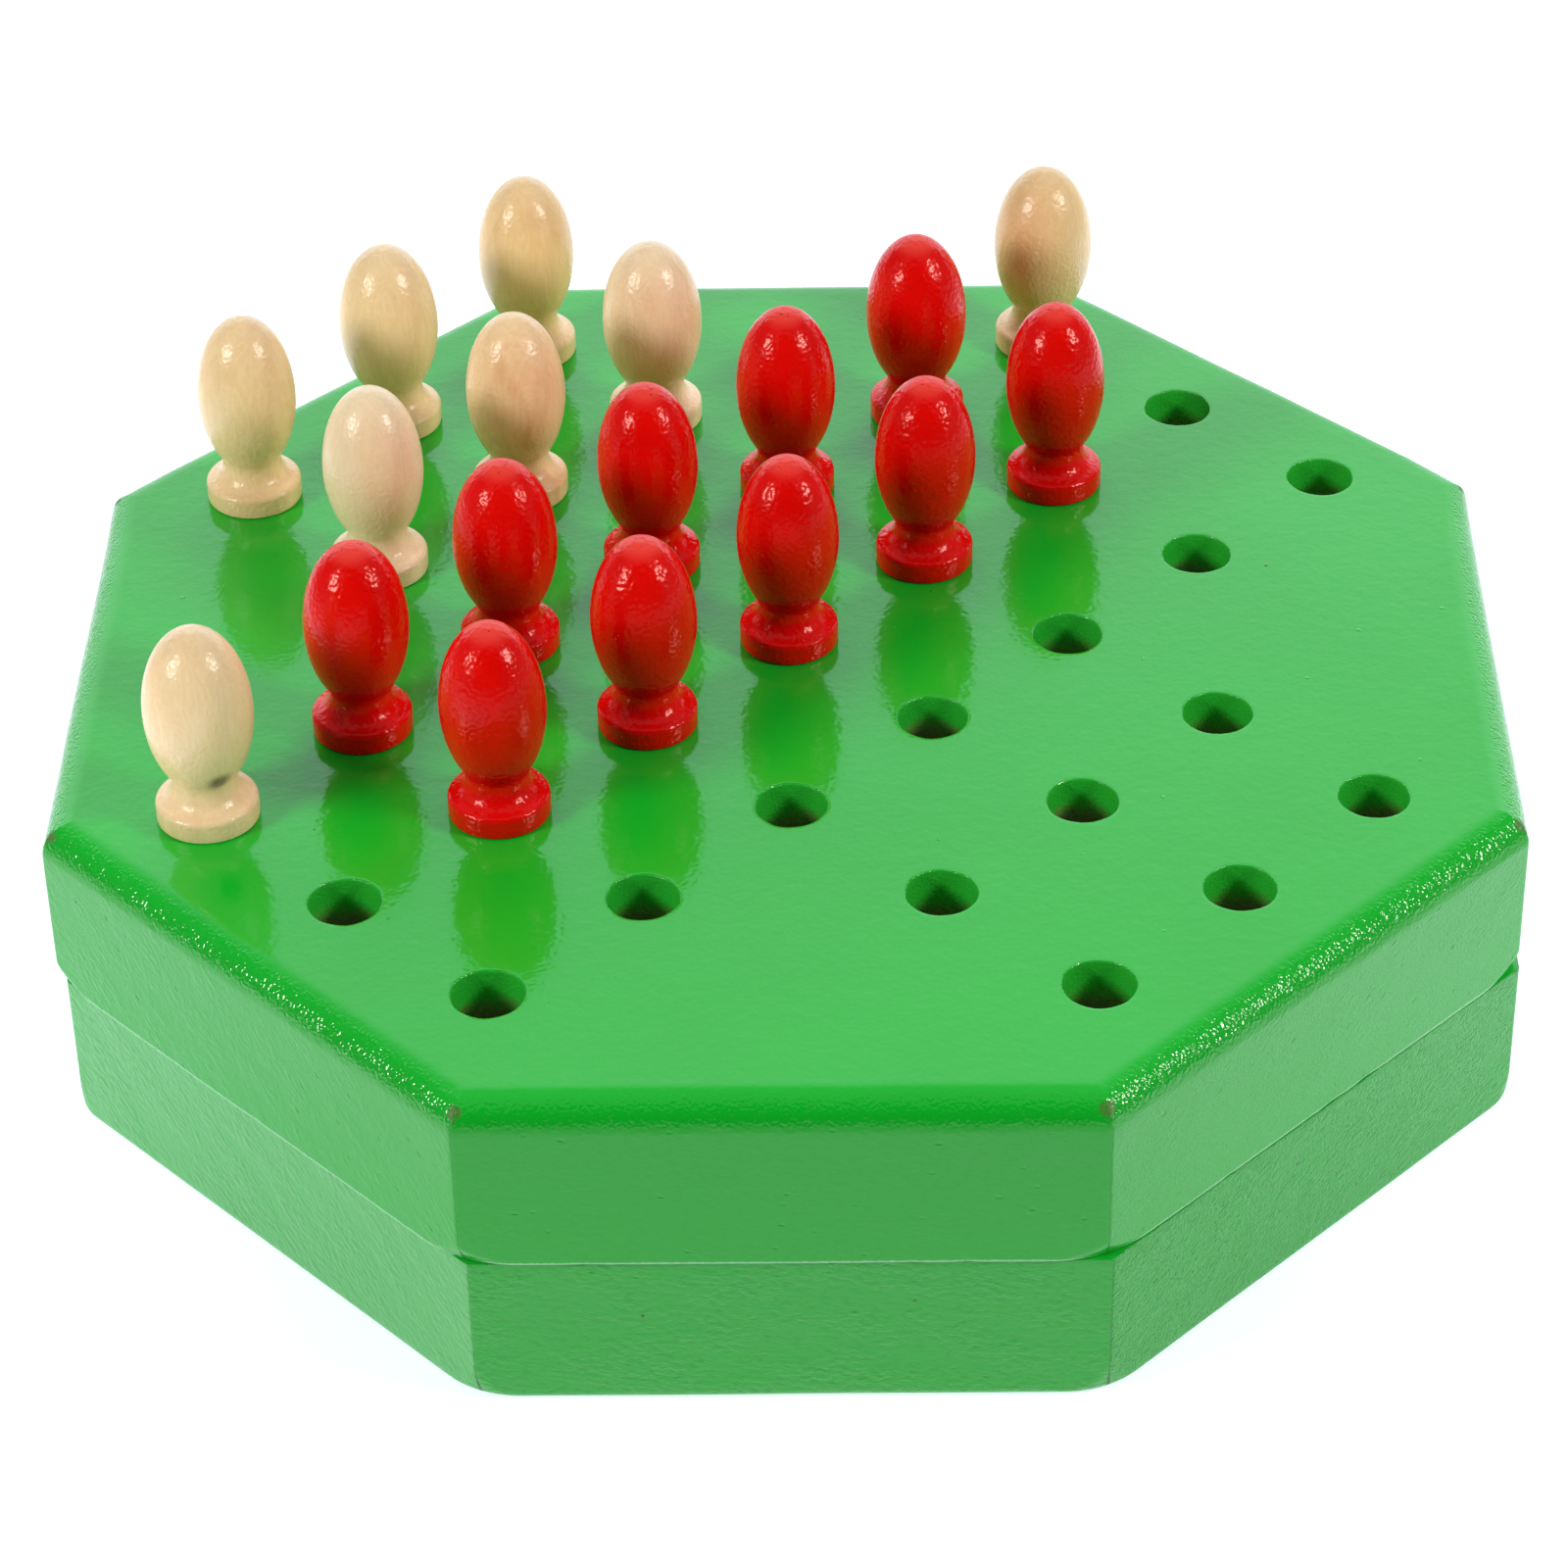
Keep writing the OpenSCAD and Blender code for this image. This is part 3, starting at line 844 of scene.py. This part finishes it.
def peg_outline(head_w, height):
    """Radius and height of a turned peg, from the end of the shank to the crown."""
    shank = SHANK_W / 2
    points = [(0.0, -SHANK_L), (shank - 0.8, -SHANK_L), (shank - 0.45, 0.2 - SHANK_L)]
    points += [(shank - 0.1, 0.6 - SHANK_L), (shank, 1.1 - SHANK_L), (shank, -4.0), (shank, -0.4)]
    points += [(shank, -0.05), (shank + 0.05, 0.0)]
    rim = FLANGE_W / 2
    points += [(shank + 0.4, 0.0), (rim - 0.7, 0.0), (rim - FOOT_R, 0.0)]
    points += [(rim - FOOT_R + FOOT_R * math.sin(t), FOOT_R - FOOT_R * math.cos(t))
               for t in np.linspace(0, math.pi / 2, 5)[1:]]
    points += [(rim, 0.9), (rim, FLANGE_T - SHOULDER)]
    points += [(rim - SHOULDER + SHOULDER * math.cos(t), FLANGE_T - SHOULDER + SHOULDER * math.sin(t))
               for t in np.linspace(0, SHOULDER_TURN, 8)[1:]]
    # One hollow curve flares from the underside of the egg out to the flange
    half_h = (height - FLANGE_T - 0.9) / 2 + 0.1
    middle = height - half_h + 0.1
    start = np.array(points[-1])
    end = np.array([head_w / 2 * math.cos(EGG_JOIN), middle + half_h * math.sin(EGG_JOIN)])
    out = np.array([-math.sin(SHOULDER_TURN), math.cos(SHOULDER_TURN)]) * 1.45
    back = np.array([-head_w / 2 * math.sin(EGG_JOIN), half_h * math.cos(EGG_JOIN)])
    back *= 0.95 / np.linalg.norm(back)
    points += curve_points(start, start + out, end - back, end, 16)
    for t in np.linspace(EGG_JOIN, CROWN_TURN, 40):
        points.append((head_w / 2 * math.cos(t), middle + half_h * math.sin(t)))
    # The small button that the lathe leaves on top, from its rim to its middle
    rim, crown_z = points[-1]
    points += [(rim * 0.86, crown_z + 0.045), (rim * 0.6, crown_z + 0.075), (0.0, crown_z + 0.085)]
    return points


def turned_peg(name, seat, base_z, head_w, height, lean, finish, seed):
    """One peg, spun from its outline. Lean moves the crown sideways, with the flange flat on the board."""
    outline = peg_outline(head_w, height)
    uneven = np.random.default_rng(500 + seed)
    spin = uneven.uniform(0, 6)
    angles = np.arange(PER_PEG) / PER_PEG * 2 * math.pi
    board = Blank()
    hoops = []
    for r, z in outline:
        if r == 0.0:
            hoops.append(board.add_points([np.array([0.0, 0.0, z])]))
            continue
        wide = r * (1 + 0.004 * np.sin(2 * angles + spin))
        hoop = np.stack([wide * np.cos(angles), wide * np.sin(angles), np.full(PER_PEG, z)], axis=1)
        hoops.append(board.add_points(hoop))
    end, crown = hoops[0][0], hoops[-1][0]
    board.patch([(end, hoops[1][(i + 1) % PER_PEG], hoops[1][i]) for i in range(PER_PEG)])
    for lower, upper in zip(hoops[1:], hoops[2:-1]):
        board.bridge(lower, upper)
    board.patch([(hoops[-2][i], hoops[-2][(i + 1) % PER_PEG], crown) for i in range(PER_PEG)])
    points = np.array(board.points)
    above = np.clip(points[:, 2] - FLANGE_T, 0, None) / (height - FLANGE_T)
    points[:, 0] += seat[0] + lean[0] * above
    points[:, 1] += seat[1] + lean[1] * above
    points[:, 2] += base_z
    board.points = list(points)
    return board.build(name, [finish])


# ---------------------------------------------------------------- putting the box together
lid_green = green_lacquer("green_lacquer_on_board", fibres=0.09, pits=0.07, gloss_on_edge=0.22,
                          shine=0.5, painted_sheen_share=0.0, seed=1, edge_highlight_z=LID_FOOT_Z)
tray_green = green_lacquer("green_lacquer_on_rough_board", fibres=0.24, pits=0.05, gloss_on_edge=0.28,
                           shine=0.6, painted_sheen_share=0.1, seed=2)
hole_green = hole_lacquer("overspray_in_hole")
raw_board = bare_fibreboard("bare_fibreboard")

lid = make_lid([lid_green, raw_board, hole_green])
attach(lid, "lid")
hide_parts("peg_board")

tray = make_tray([tray_green, raw_board])
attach(tray, "tray")
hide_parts("tray")

WOODS = [("#FADDAC", "#EFC88A", 0.1), ("#FCE2B2", "#F2CE92", 0.1), ("#FBDCA8", "#F0C88A", 0.15),
         ("#FDE8C2", "#F4D8A6", 0.05), ("#FFE0B0", "#F2C68A", 0.35), ("#FFE8C2", "#F6D29C", 0.12),
         ("#F8DEB0", "#EECA94", 0.1), ("#F6D5A0", "#E8BE82", 0.15)]

for number, peg in enumerate(NATURAL + RED):
    seat = seat_of(peg)
    # Each peg came off the lathe a little different
    varied = np.random.default_rng(900 + number)
    head_w = HEAD_W + varied.uniform(-0.2, 0.2)
    height = PEG_H - varied.uniform(0.0, 0.25)
    lean = varied.uniform(-0.2, 0.2, 2)
    if peg in NATURAL:
        pale, dark, streak = WOODS[number]
        knot = None
        if peg == "natural_peg_7":
            knot = (seat[0] + 1.9, seat[1] - 3.4, TOP_Z + 6.4)
        finish = varnished_wood("varnished_wood_%d" % (number + 1), pale, dark, number + 1, streak, knot)
    else:
        finish = red_lacquer("red_lacquer_%d" % (number - len(NATURAL) + 1), number)
    made = turned_peg(peg + "_turned", seat, TOP_Z, head_w, height, lean, finish, number)
    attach(made, peg)
    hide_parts(peg)
